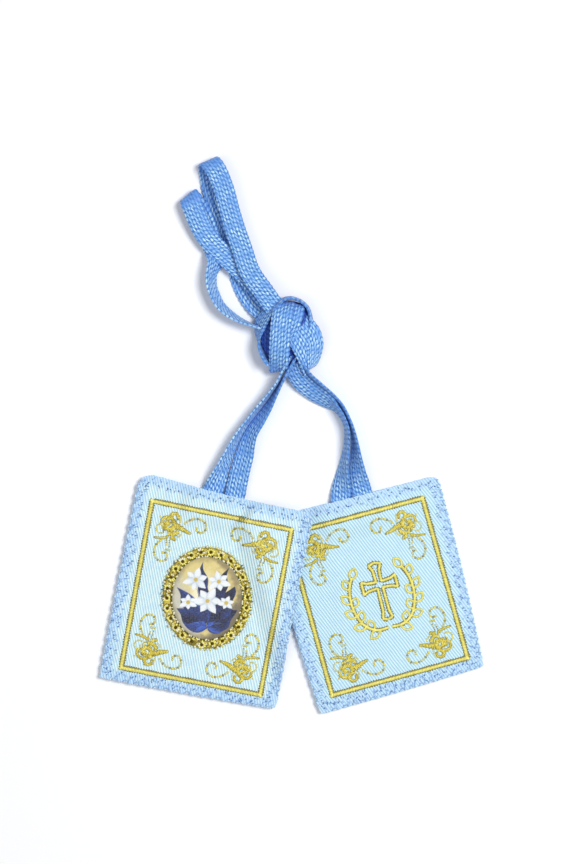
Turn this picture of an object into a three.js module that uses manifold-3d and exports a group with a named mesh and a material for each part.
// A devotional scapular laid flat: two embroidered cloth panels joined by two flat woven tapes, which are
// tied together in one knot. Millimetres, +Z up, seen from above with the knot away from the viewer.
// The origin lies on the surface, under the middle of the two panels.
import * as THREE from "three";
import { mergeVertices } from "three/addons/utils/BufferGeometryUtils.js";
import Module from "manifold-3d";

const wasm = await Module();
wasm.setup();

// Driving dimensions
const CLOTH = 1.0; // thickness of one cloth wall
const GAP = 0.3; // between two pieces at a seam or a crossing
const TAPE = { width: 6.4, thick: 1.0, round: 0.35, step: 2.3 };
const MIDDLE = { x: -0.2, y: -0.16 }; // moves the middle of the two panels onto the origin

// Each panel's corners, clockwise from the top left, as it lies. round is the length that the rounding takes
// off each side, and bow is how far the side after the corner swells outwards at its middle.
const LEFT_CORNERS = [
  { x: -45.5, y: 37.1, round: 5.6, bow: -0.6 },
  { x: 7.0, y: 24.5, round: 3.6, bow: -0.2 },
  { x: -4.4, y: -34.5, round: 2.2, bow: 0.2 },
  { x: -57.8, y: -24.9, round: 1.6, bow: 0.1 },
];
const RIGHT_CORNERS = [
  { x: -8.3, y: 22.8, round: 3.0, bow: -0.1 },
  { x: 44.3, y: 36.2, round: 3.4, bow: 0.5 },
  { x: 58.2, y: -21.5, round: 1.5, bow: 0.2 },
  { x: 8.6, y: -36.1, round: 2.2, bow: 0.5 },
];
const SIDE_POINTS = 7; // points between two roundings
const ROUNDING_POINTS = 4; // points on one rounding
const RINGS = [1, 0.93, 0.86, 0.79, 0.72, 0.64, 0.56, 0.47, 0.36, 0.22]; // a panel's sections, as shares of its outline

// Where a pair of tapes enters a panel's top seam: its middle, and the direction of the seam in degrees.
const LEFT_SEAM = { x: -19.9, y: 30.3, turn: -12 };
const RIGHT_SEAM = { x: 18.5, y: 29.3, turn: 15 };
const TAPE_BED = { deep: 7.0, half: 8.0, fade: 6.0, spare: 0.1 }; // the swelling of the front cloth over the tape ends

// The left panel lies over the right one and climbs to it along the right panel's hidden left side. It climbs
// more gently from the left than from the top, where the tape ends lie.
const CLIMB = { run: 6.8, clear: 2.2, spare: 0.3, gentle: 0.62, reach: 3 };

// The oval picture applique and the raised ring round it, on the left panel.
const OVAL = { x: -25.2, y: -0.9, halfWidth: 10.5, halfHeight: 12.4, thick: 1.0, points: 40 };
const OVAL_RING = { width: 2.8, height: 1.4, gap: 0.3, seat: 0.35 };
const OVAL_SHARES = [1, 0.72, 0.4]; // the applique's sections, as shares of its outline

// Tapes. Each row is a section: its middle, the bearing of the line across the tape in degrees from +X, and how
// far that line rises. 0 lies flat and 90 stands on edge.
const LONG_LOOP = [
  { x: -4.8, y: 86.1, z: 6.2, turn: 36, rise: 0 },
  { x: -6.6, y: 88.5, z: 6.0, turn: 36, rise: 0 },
  { x: -8.7, y: 91.5, z: 5.6, turn: 35, rise: 0 },
  { x: -10.9, y: 94.5, z: 5.2, turn: 32, rise: 0 },
  { x: -12.6, y: 97.5, z: 4.9, turn: 26, rise: 0 },
  { x: -14.6, y: 103.5, z: 4.6, turn: 19, rise: 0 },
  { x: -16.7, y: 109.5, z: 4.5, turn: 18, rise: 0 },
  { x: -18.5, y: 115.5, z: 4.6, turn: 16, rise: 0 },
  { x: -20.1, y: 121.5, z: 5.0, turn: 20, rise: 0 },
  { x: -22.3, y: 127.0, z: 5.2, turn: 23, rise: 0 },
  { x: -23.9, y: 129.3, z: 4.5, turn: 24, rise: 0 },
  { x: -24.7, y: 130.0, z: 3.0, turn: 24, rise: 0 },
  { x: -24.8, y: 129.1, z: 1.5, turn: 22, rise: 0 },
  { x: -24.5, y: 126.6, z: 0.8, turn: 18, rise: 0 },
  { x: -23.6, y: 121.3, z: 0.6, turn: 16, rise: 0 },
  { x: -20.9, y: 114.6, z: 0.6, turn: 17, rise: 0 },
  { x: -18.1, y: 107.4, z: 0.6, turn: 16, rise: 0 },
  { x: -16.3, y: 100.8, z: 0.6, turn: 18, rise: 0 },
  { x: -15.3, y: 95.7, z: 0.6, turn: 20, rise: 0 },
  { x: -14.2, y: 92.7, z: 0.7, turn: 28, rise: 0 },
  { x: -12.9, y: 90.2, z: 0.9, turn: 35, rise: 0 },
  { x: -10.7, y: 87.2, z: 1.3, turn: 40, rise: 0 },
  { x: -8.1, y: 84.9, z: 2.0, turn: 44, rise: 0 },
];
const SHORT_LOOP = [
  { x: -6.9, y: 88.2, z: 3.9, turn: 40, rise: 0 },
  { x: -11.1, y: 93.3, z: 3.3, turn: 40, rise: 0 },
  { x: -14.4, y: 96.9, z: 3.0, turn: 44, rise: 0 },
  { x: -17.1, y: 99.3, z: 2.9, turn: 48, rise: 0 },
  { x: -19.5, y: 101.5, z: 2.9, turn: 46, rise: 0 },
  { x: -22.2, y: 103.9, z: 3.0, turn: 41, rise: 0 },
  { x: -24.6, y: 106.5, z: 3.2, turn: 38, rise: 0 },
  { x: -26.7, y: 109.7, z: 3.5, turn: 35, rise: 0 },
  { x: -28.2, y: 113.0, z: 3.9, turn: 32, rise: 0 },
  { x: -29.4, y: 116.1, z: 4.2, turn: 32, rise: 0 },
  { x: -30.3, y: 118.6, z: 4.1, turn: 37, rise: 0 },
  { x: -30.8, y: 119.7, z: 2.8, turn: 40, rise: 0 },
  { x: -30.0, y: 119.0, z: 1.3, turn: 40, rise: 0 },
  { x: -28.6, y: 117.1, z: 1.1, turn: 36, rise: 8 },
  { x: -27.0, y: 114.3, z: 1.1, turn: 30, rise: 9 },
  { x: -25.7, y: 111.3, z: 1.1, turn: 24, rise: 9 },
  { x: -24.5, y: 107.8, z: 1.0, turn: 18, rise: 6 },
  { x: -23.6, y: 105.0, z: 1.0, turn: 14, rise: -3 },
  { x: -22.9, y: 102.4, z: 1.55, turn: 8, rise: -17 },
  { x: -22.9, y: 99.5, z: 2.75, turn: 0, rise: -45 },
  { x: -23.8, y: 96.4, z: 3.15, turn: -6, rise: -60 },
  { x: -23.8, y: 93.0, z: 3.15, turn: 6, rise: -61 },
  { x: -22.6, y: 89.5, z: 3.15, turn: 26, rise: -62 },
  { x: -21.2, y: 86.9, z: 3.2, turn: 38, rise: -64 },
  { x: -18.7, y: 84.5, z: 3.25, turn: 50, rise: -67 },
  { x: -15.1, y: 82.3, z: 3.35, turn: 62, rise: -75 },
  { x: -11.7, y: 80.9, z: 3.6, turn: 68, rise: -83 },
  { x: -8.4, y: 79.8, z: 3.9, turn: 70, rise: -85 },
];
const LEFT_OUTER_STRAP = [
  { x: -25.4, y: 27.0, z: 1.8, turn: -13, rise: 0 },
  { x: -23.4, y: 31.2, z: 1.8, turn: -14, rise: 0 },
  { x: -22.5, y: 33.4, z: 2.1, turn: -18, rise: -20 },
  { x: -20.5, y: 38.2, z: 2.9, turn: -22, rise: -51 },
  { x: -18.8, y: 41.95, z: 3.1, turn: -25, rise: -62 },
  { x: -17.2, y: 45.4, z: 3.2, turn: -28, rise: -70 },
  { x: -15.45, y: 48.6, z: 3.25, turn: -30, rise: -75 },
  { x: -12.85, y: 52.2, z: 3.3, turn: -35, rise: -79 },
  { x: -9.95, y: 56.0, z: 3.4, turn: -37, rise: -80 },
  { x: -7.1, y: 59.5, z: 3.7, turn: -36, rise: -83 },
  { x: -4.3, y: 63.4, z: 4.3, turn: -34, rise: -86 },
  { x: -2.6, y: 66.6, z: 5.0, turn: -32, rise: -86 },
  { x: -1.5, y: 68.5, z: 5.4, turn: -32, rise: -85 },
  { x: 0.3, y: 71.6, z: 5.9, turn: -32, rise: -86 },
];
const LEFT_INNER_STRAP = [
  { x: -18.9, y: 25.6, z: 1.9, turn: -13, rise: 2 },
  { x: -16.9, y: 29.8, z: 1.95, turn: -14, rise: 2 },
  { x: -16.3, y: 32.6, z: 2.0, turn: -15, rise: 8 },
  { x: -15.15, y: 37.6, z: 2.1, turn: -16, rise: 18 },
  { x: -14.0, y: 41.8, z: 2.2, turn: -17, rise: 24 },
  { x: -13.1, y: 45.5, z: 2.6, turn: -22, rise: 37 },
  { x: -11.8, y: 48.7, z: 2.95, turn: -30, rise: 50 },
  { x: -9.45, y: 52.3, z: 3.05, turn: -34, rise: 56 },
  { x: -7.0, y: 56.1, z: 3.2, turn: -33, rise: 66 },
  { x: -5.0, y: 59.6, z: 3.5, turn: -31, rise: 76 },
  { x: -2.95, y: 63.4, z: 4.2, turn: -30, rise: 84 },
  { x: -1.0, y: 67.0, z: 5.1, turn: -30, rise: 88 },
  { x: 1.6, y: 71.3, z: 6.0, turn: -30, rise: 89 },
];
const RIGHT_OUTER_STRAP = [
  { x: 22.4, y: 26.0, z: 1.8, turn: 15, rise: 0 },
  { x: 21.4, y: 30.1, z: 1.8, turn: 14, rise: 0 },
  { x: 20.8, y: 32.6, z: 2.0, turn: 12, rise: 12 },
  { x: 20.0, y: 36.6, z: 2.7, turn: 10, rise: 36 },
  { x: 19.5, y: 41.0, z: 3.1, turn: 4, rise: 56 },
  { x: 19.2, y: 45.0, z: 3.3, turn: 4, rise: 72 },
  { x: 18.5, y: 49.3, z: 3.35, turn: 14, rise: 82 },
  { x: 17.1, y: 53.1, z: 3.4, turn: 26, rise: 84 },
  { x: 15.0, y: 56.9, z: 3.4, turn: 38, rise: 82 },
  { x: 12.2, y: 60.1, z: 3.7, turn: 46, rise: 84 },
  { x: 8.9, y: 63.0, z: 4.2, turn: 48, rise: 84 },
  { x: 5.7, y: 65.9, z: 4.9, turn: 46, rise: 84 },
  { x: 3.2, y: 69.0, z: 5.5, turn: 44, rise: 84 },
  { x: 1.5, y: 71.9, z: 5.8, turn: 44, rise: 84 },
];
const RIGHT_INNER_STRAP = [
  { x: 15.9, y: 24.3, z: 1.8, turn: 15, rise: 0 },
  { x: 15.0, y: 28.4, z: 1.8, turn: 12, rise: 0 },
  { x: 15.1, y: 31.0, z: 1.9, turn: 6, rise: 14 },
  { x: 15.35, y: 34.8, z: 2.6, turn: 2, rise: 46 },
  { x: 15.8, y: 39.0, z: 3.1, turn: -5, rise: 66 },
  { x: 16.6, y: 44.0, z: 3.3, turn: -2, rise: 76 },
  { x: 16.8, y: 49.0, z: 3.35, turn: 10, rise: 79 },
  { x: 15.9, y: 52.4, z: 3.35, turn: 26, rise: 82 },
  { x: 13.5, y: 56.0, z: 3.3, turn: 42, rise: 74 },
  { x: 10.9, y: 58.3, z: 2.9, turn: 56, rise: 46 },
  { x: 7.2, y: 60.7, z: 2.7, turn: 60, rise: 30 },
  { x: 3.6, y: 63.6, z: 3.1, turn: 50, rise: 26 },
  { x: 1.4, y: 66.6, z: 4.2, turn: 38, rise: 30 },
  { x: 0.4, y: 69.6, z: 5.2, turn: 30, rise: 36 },
];

// The wraps of the knot that show, from the front of the bundle to its back.
const FRONT_WRAP = [
  { x: -1.6, y: 87.5, z: 3.8, turn: 4, rise: 0 },
  { x: -1.9, y: 86.9, z: 6.6, turn: 3, rise: 0 },
  { x: -2.4, y: 84.8, z: 8.9, turn: 2, rise: 0 },
  { x: -2.8, y: 82.2, z: 9.9, turn: 3, rise: 2 },
  { x: -3.1, y: 79.5, z: 10.3, turn: 5, rise: 4 },
  { x: -3.3, y: 75.9, z: 10.1, turn: 3, rise: 6 },
  { x: -3.5, y: 72.4, z: 9.1, turn: 5, rise: 14 },
  { x: -3.6, y: 69.4, z: 7.2, turn: 12, rise: 30 },
  { x: -3.6, y: 67.6, z: 5.0, turn: 20, rise: 46 },
  { x: -3.3, y: 67.2, z: 3.2, turn: 22, rise: 50 },
];
const SECOND_WRAP = [
  { x: 0.9, y: 87.1, z: 3.4, turn: -12, rise: 0 },
  { x: 1.1, y: 86.9, z: 5.6, turn: -10, rise: 0 },
  { x: 0.9, y: 85.6, z: 7.5, turn: 0, rise: 0 },
  { x: 0.2, y: 82.6, z: 8.7, turn: 10, rise: -4 },
  { x: -1.1, y: 79.0, z: 8.8, turn: 16, rise: -8 },
  { x: -2.1, y: 75.6, z: 8.6, turn: 14, rise: -8 },
  { x: -2.6, y: 72.6, z: 7.6, turn: 10, rise: -8 },
];
const RIM_WRAP = [
  { x: 5.8, y: 79.8, z: 4.6, turn: 180, rise: 86 },
  { x: 5.9, y: 82.8, z: 5.0, turn: 190, rise: 84 },
  { x: 5.0, y: 86.0, z: 5.3, turn: 225, rise: 84 },
  { x: 2.7, y: 88.1, z: 5.5, turn: 250, rise: 84 },
  { x: -0.5, y: 89.0, z: 5.6, turn: 270, rise: 84 },
  { x: -3.2, y: 87.9, z: 5.9, turn: 300, rise: 80 },
  { x: -5.6, y: 85.7, z: 6.0, turn: 315, rise: 66 },
  { x: -7.8, y: 83.4, z: 5.6, turn: 330, rise: 52 },
  { x: -9.3, y: 80.6, z: 4.8, turn: 350, rise: 54 },
  { x: -9.8, y: 77.6, z: 4.2, turn: 368, rise: 76 },
  { x: -9.2, y: 74.6, z: 4.1, turn: 385, rise: 102 },
  { x: -7.7, y: 71.7, z: 4.2, turn: 392, rise: 116 },
  { x: -5.9, y: 69.2, z: 4.3, turn: 396, rise: 118 },
];
const RIGHT_INNER_WRAP = [
  { x: -0.4, y: 79.6, z: 7.4, turn: 50, rise: 0 },
  { x: 1.2, y: 77.4, z: 8.2, turn: 48, rise: -4 },
  { x: 2.9, y: 74.9, z: 8.2, turn: 36, rise: -8 },
  { x: 4.2, y: 72.2, z: 7.3, turn: 24, rise: -24 },
  { x: 5.0, y: 69.6, z: 5.8, turn: 14, rise: -48 },
  { x: 5.4, y: 67.4, z: 4.2, turn: 10, rise: -66 },
];
const RIGHT_OUTER_WRAP = [
  { x: 1.8, y: 82.6, z: 6.4, turn: 52, rise: -10 },
  { x: 4.2, y: 80.6, z: 7.1, turn: 48, rise: -16 },
  { x: 6.3, y: 78.0, z: 6.9, turn: 30, rise: -24 },
  { x: 7.2, y: 74.9, z: 6.3, turn: 8, rise: -34 },
  { x: 7.0, y: 71.6, z: 5.1, turn: -8, rise: -50 },
  { x: 6.4, y: 68.2, z: 3.9, turn: -14, rise: -70 },
];
const CORE = { x: -1.1, y: 77.8, z: 4.7, halfWidth: 7.4, halfLength: 9.4, halfHeight: 4.9, around: 20, rings: 11 };

// Colours
const COLOURS = {
  cloth: { color: 0xdcecfb, roughness: 0.8, metalness: 0.0 },
  backing: { color: 0xc3d9f5, roughness: 0.9, metalness: 0.0 },
  picture: { color: 0xe0d7ae, roughness: 0.55, metalness: 0.0 },
  gold: { color: 0xd9c64a, roughness: 0.4, metalness: 0.5 },
  tape: { color: 0x6ba2ea, roughness: 0.6, metalness: 0.0 },
};

// A closed body from its vertices and its triangles, facing out.
function bodyOf(vertices, triangles) {
  const geometry = new THREE.BufferGeometry();
  geometry.setAttribute("position", new THREE.Float32BufferAttribute(vertices.flat(), 3));
  geometry.setIndex(triangles.flat());
  return geometry;
}

// Joins closed loops of the same number of points, in order, into one body with a fan over each end. From the
// loop numbered turned on, each patch is split on its other diagonal, so that a wall's two faces are alike.
function skinOver(loops, turned = 0) {
  const count = loops[0].length;
  const vertices = loops.flat();
  const triangles = [];
  for (let i = 0; i + 1 < loops.length; i++) {
    for (let k = 0; k < count; k++) {
      const a = i * count + k;
      const b = i * count + ((k + 1) % count);
      if (i < turned) triangles.push([a, b, a + count], [b, b + count, a + count]);
      else triangles.push([a, b, b + count], [a, b + count, a + count]);
    }
  }
  const last = vertices.length - count;
  const ends = [
    { start: 0, flip: true },
    { start: last, flip: false },
  ];
  for (const end of ends) {
    const middle = [0, 1, 2].map((axis) => {
      const ring = vertices.slice(end.start, end.start + count);
      return ring.reduce((sum, point) => sum + point[axis], 0) / count;
    });
    const hub = vertices.push(middle) - 1;
    for (let k = 0; k < count; k++) {
      const a = end.start + k;
      const b = end.start + ((k + 1) % count);
      triangles.push(end.flip ? [b, a, hub] : [a, b, hub]);
    }
  }
  return bodyOf(vertices, triangles);
}

// The outline of a panel, counter-clockwise, from its table of corners.
function outlineOf(corners) {
  const points = [];
  corners.forEach((corner, i) => {
    const before = corners[(i + corners.length - 1) % corners.length];
    const after = corners[(i + 1) % corners.length];
    const at = new THREE.Vector2(corner.x, corner.y);
    const toBefore = new THREE.Vector2(before.x, before.y).sub(at).normalize();
    const side = new THREE.Vector2(after.x, after.y).sub(at);
    const toAfter = side.clone().normalize();
    const start = at.clone().addScaledVector(toBefore, corner.round);
    const end = at.clone().addScaledVector(toAfter, corner.round);
    const rounding = new THREE.QuadraticBezierCurve(start, at, end);
    points.push(...rounding.getPoints(ROUNDING_POINTS - 1));
    const outward = new THREE.Vector2(-toAfter.y, toAfter.x);
    const straight = side.length() - corner.round - after.round;
    for (let k = 1; k <= SIDE_POINTS; k++) {
      const share = k / (SIDE_POINTS + 1);
      const point = end.clone().addScaledVector(toAfter, straight * share);
      points.push(point.addScaledVector(outward, corner.bow * Math.sin(Math.PI * share)));
    }
  });
  return points.reverse();
}

function meanOf(points) {
  const sum = points.reduce((total, point) => total.add(point), new THREE.Vector2());
  return sum.divideScalar(points.length);
}

// A cloth wall over an outline: rings of its outline drawn in to its middle, below and above.
function clothWall(outline, shares, thick, bottomAt) {
  const middle = meanOf(outline);
  const ringAt = (share, lift) =>
    outline.map((point) => {
      const p = middle.clone().lerp(point, share);
      return [p.x, p.y, bottomAt(p.x, p.y) + lift];
    });
  const inwards = [...shares].reverse();
  const below = inwards.map((share) => ringAt(share, 0));
  const above = shares.map((share) => ringAt(share, thick));
  return skinOver([...below, ...above], shares.length);
}

// How much of its full height the front cloth swells at a point near the seam where tapes enter.
function bedShare(seam, x, y) {
  const turn = THREE.MathUtils.degToRad(seam.turn);
  const along = (x - seam.x) * Math.cos(turn) + (y - seam.y) * Math.sin(turn);
  const deep = (x - seam.x) * Math.sin(turn) - (y - seam.y) * Math.cos(turn);
  const { deep: full, half, fade } = TAPE_BED;
  const inwards = 1 - THREE.MathUtils.smoothstep(deep, full, full + fade);
  const sideways = 1 - THREE.MathUtils.smoothstep(Math.abs(along), half, half + fade);
  return inwards * sideways;
}

// How far a point lies outside the side of the right panel that runs from one corner to the next.
function outsideOf(from, to, x, y) {
  const length = Math.hypot(to.x - from.x, to.y - from.y);
  return ((from.y - to.y) * (x - from.x) + (to.x - from.x) * (y - from.y)) / length;
}

// The height that the left panel has climbed to, over the hidden corner of the right panel.
function climbAt(x, y) {
  const [topLeft, topRight, , bottomLeft] = RIGHT_CORNERS;
  const leftward = Math.max(0, outsideOf(bottomLeft, topLeft, x, y));
  const upward = Math.max(0, outsideOf(topLeft, topRight, x, y));
  const full = 2 * CLOTH + 2 * GAP + CLIMB.spare;
  const share = THREE.MathUtils.lerp(CLIMB.gentle, 1, THREE.MathUtils.smoothstep(upward, 0, CLIMB.reach));
  return full * (1 - THREE.MathUtils.smoothstep(Math.hypot(leftward * share, upward), CLIMB.clear, CLIMB.run));
}

const flat = () => 0;
const bedHeight = TAPE.thick + GAP + TAPE_BED.spare;
const leftFrontBottom = (x, y) => climbAt(x, y) + CLOTH + GAP + bedHeight * bedShare(LEFT_SEAM, x, y);
const rightFrontBottom = (x, y) => CLOTH + GAP + bedHeight * bedShare(RIGHT_SEAM, x, y);

// The oval's outline at a distance outside the applique's edge.
function ovalOutline(outside) {
  return Array.from({ length: OVAL.points }, (_, i) => {
    const angle = (2 * Math.PI * i) / OVAL.points;
    return new THREE.Vector2(
      OVAL.x + (OVAL.halfWidth + outside) * Math.cos(angle),
      OVAL.y + (OVAL.halfHeight + outside) * Math.sin(angle),
    );
  });
}

// The ring of eyelets: a low arch of stitching that runs round the applique.
function ovalRing() {
  const { width, height, gap, seat: clear } = OVAL_RING;
  const arch = [
    { out: gap, up: 0 },
    { out: gap, up: height * 0.7 },
    { out: gap + width * 0.3, up: height },
    { out: gap + width * 0.7, up: height },
    { out: gap + width, up: height * 0.45 },
    { out: gap + width, up: 0 },
  ];
  const seat = (p) => leftFrontBottom(p.x, p.y) + CLOTH + clear;
  const loops = arch.map((row) => ovalOutline(row.out).map((p) => [p.x, p.y, seat(p) + row.up]));
  const count = OVAL.points;
  const triangles = [];
  loops.forEach((_, i) => {
    const next = (i + 1) % loops.length;
    for (let k = 0; k < count; k++) {
      const l = (k + 1) % count;
      const [a, b, c, d] = [i * count + k, i * count + l, next * count + k, next * count + l];
      triangles.push([a, c, b], [b, c, d]);
    }
  });
  return bodyOf(loops.flat(), triangles);
}

// A flat tape through its rows of sections. spare makes it that much larger all round, for cutting room.
function tapeThrough(rows, spare = 0) {
  const middles = rows.map((row) => new THREE.Vector3(row.x, row.y, row.z));
  const curve = new THREE.CatmullRomCurve3(middles, false, "centripetal");
  const steps = Math.ceil(curve.getLength() / TAPE.step);
  const perRow = Math.max(1, Math.round(steps / (rows.length - 1)));
  const half = TAPE.width / 2 + spare;
  const thin = TAPE.thick / 2 + spare;
  const flatHalf = half - TAPE.round;
  const section = [
    { across: half, up: 0 },
    { across: flatHalf, up: thin },
    { across: -flatHalf, up: thin },
    { across: -half, up: 0 },
    { across: -flatHalf, up: -thin },
    { across: flatHalf, up: -thin },
  ];
  const loops = [];
  const count = (rows.length - 1) * perRow;
  for (let i = 0; i <= count; i++) {
    const row = Math.min(Math.floor(i / perRow), rows.length - 2);
    const share = i / perRow - row;
    const middle = curve.getPoint(i / count);
    const tangent = curve.getTangent(i / count);
    const turn = THREE.MathUtils.degToRad(THREE.MathUtils.lerp(rows[row].turn, rows[row + 1].turn, share));
    const rise = THREE.MathUtils.degToRad(THREE.MathUtils.lerp(rows[row].rise, rows[row + 1].rise, share));
    const across = new THREE.Vector3(
      Math.cos(turn) * Math.cos(rise),
      Math.sin(turn) * Math.cos(rise),
      Math.sin(rise),
    );
    across.addScaledVector(tangent, -across.dot(tangent)).normalize();
    const up = new THREE.Vector3().crossVectors(tangent, across).normalize();
    if (i === 0) middle.addScaledVector(tangent, -spare);
    if (i === count) middle.addScaledVector(tangent, spare);
    loops.push(
      section.map((corner) => {
        const point = middle.clone().addScaledVector(across, corner.across).addScaledVector(up, corner.up);
        return point.toArray();
      }),
    );
  }
  return skinOver(loops);
}

// The hidden layers of the knot as one rounded body, flat where it rests.
function knotCore(spare = 0) {
  const loops = [];
  for (let i = 1; i < CORE.rings; i++) {
    const angle = (Math.PI * i) / CORE.rings;
    const height = CORE.z - (CORE.halfHeight + spare) * Math.cos(angle);
    const loop = [];
    for (let k = 0; k < CORE.around; k++) {
      const bearing = (2 * Math.PI * k) / CORE.around;
      loop.push([
        CORE.x + (CORE.halfWidth + spare) * Math.sin(angle) * Math.cos(bearing),
        CORE.y + (CORE.halfLength + spare) * Math.sin(angle) * Math.sin(bearing),
        Math.max(height, -spare),
      ]);
    }
    loops.push(loop);
  }
  return skinOver(loops);
}

// Turns a geometry into a solid that can be cut, and back.
function solidOf(geometry) {
  const merged = mergeVertices(geometry, 1e-4);
  const made = new wasm.Manifold(
    new wasm.Mesh({
      numProp: 3,
      vertProperties: merged.attributes.position.array,
      triVerts: new Uint32Array(merged.index.array),
    }),
  );
  return made;
}

function geometryOf(solid) {
  const mesh = solid.getMesh();
  const geometry = new THREE.BufferGeometry();
  geometry.setAttribute("position", new THREE.BufferAttribute(mesh.vertProperties, 3));
  geometry.setIndex(new THREE.BufferAttribute(mesh.triVerts, 1));
  return geometry;
}

// The largest body that is left of a solid once the cutters are taken out of it.
function clearOf(solid, cutters) {
  const cut = cutters.reduce((rest, cutter) => rest.subtract(cutter), solid);
  return cut.decompose().reduce((best, body) => (body.volume() > best.volume() ? body : best));
}

const scapular = new THREE.Group();
scapular.position.set(MIDDLE.x, MIDDLE.y, 0);

function addPiece(name, geometry, colour) {
  const mesh = new THREE.Mesh(geometry, new THREE.MeshStandardMaterial(colour));
  mesh.name = name;
  scapular.add(mesh);
}

// Panels
const leftOutline = outlineOf(LEFT_CORNERS);
const rightOutline = outlineOf(RIGHT_CORNERS);
addPiece("panel_left_back", clothWall(leftOutline, RINGS, CLOTH, climbAt), COLOURS.backing);
addPiece("panel_left_front", clothWall(leftOutline, RINGS, CLOTH, leftFrontBottom), COLOURS.cloth);
addPiece("panel_right_back", clothWall(rightOutline, [1], CLOTH, flat), COLOURS.backing);
addPiece("panel_right_front", clothWall(rightOutline, RINGS, CLOTH, rightFrontBottom), COLOURS.cloth);

// Applique
const appliqueBottom = (x, y) => leftFrontBottom(x, y) + CLOTH + GAP;
addPiece("oval_picture", clothWall(ovalOutline(0), OVAL_SHARES, OVAL.thick, appliqueBottom), COLOURS.picture);
addPiece("oval_ring", ovalRing(), COLOURS.gold);

// Knot: each wrap is cut clear of those in front of it, and the core clear of them all.
const WRAPS = [
  { name: "knot_front_wrap", rows: FRONT_WRAP },
  { name: "knot_second_wrap", rows: SECOND_WRAP },
  { name: "knot_right_inner_wrap", rows: RIGHT_INNER_WRAP },
  { name: "knot_right_outer_wrap", rows: RIGHT_OUTER_WRAP },
  { name: "knot_rim_wrap", rows: RIM_WRAP },
];
const cutters = [];
for (const wrap of WRAPS) {
  const solid = clearOf(solidOf(tapeThrough(wrap.rows)), cutters);
  addPiece(wrap.name, geometryOf(solid), COLOURS.tape);
  cutters.push(solidOf(tapeThrough(wrap.rows, GAP)));
}
addPiece("knot_core", geometryOf(clearOf(solidOf(knotCore()), cutters)), COLOURS.tape);
cutters.push(solidOf(knotCore(GAP)));

// Straps and loops, each ending where it goes into the knot, and clear of those before it in the list.
const TAPES = [
  { name: "tape_long_loop", rows: LONG_LOOP },
  { name: "tape_short_loop", rows: SHORT_LOOP },
  { name: "tape_left_outer", rows: LEFT_OUTER_STRAP },
  { name: "tape_left_inner", rows: LEFT_INNER_STRAP },
  { name: "tape_right_outer", rows: RIGHT_OUTER_STRAP },
  { name: "tape_right_inner", rows: RIGHT_INNER_STRAP },
];
for (const tape of TAPES) {
  addPiece(tape.name, geometryOf(clearOf(solidOf(tapeThrough(tape.rows)), cutters)), COLOURS.tape);
  cutters.push(solidOf(tapeThrough(tape.rows, GAP)));
}

export default scapular;
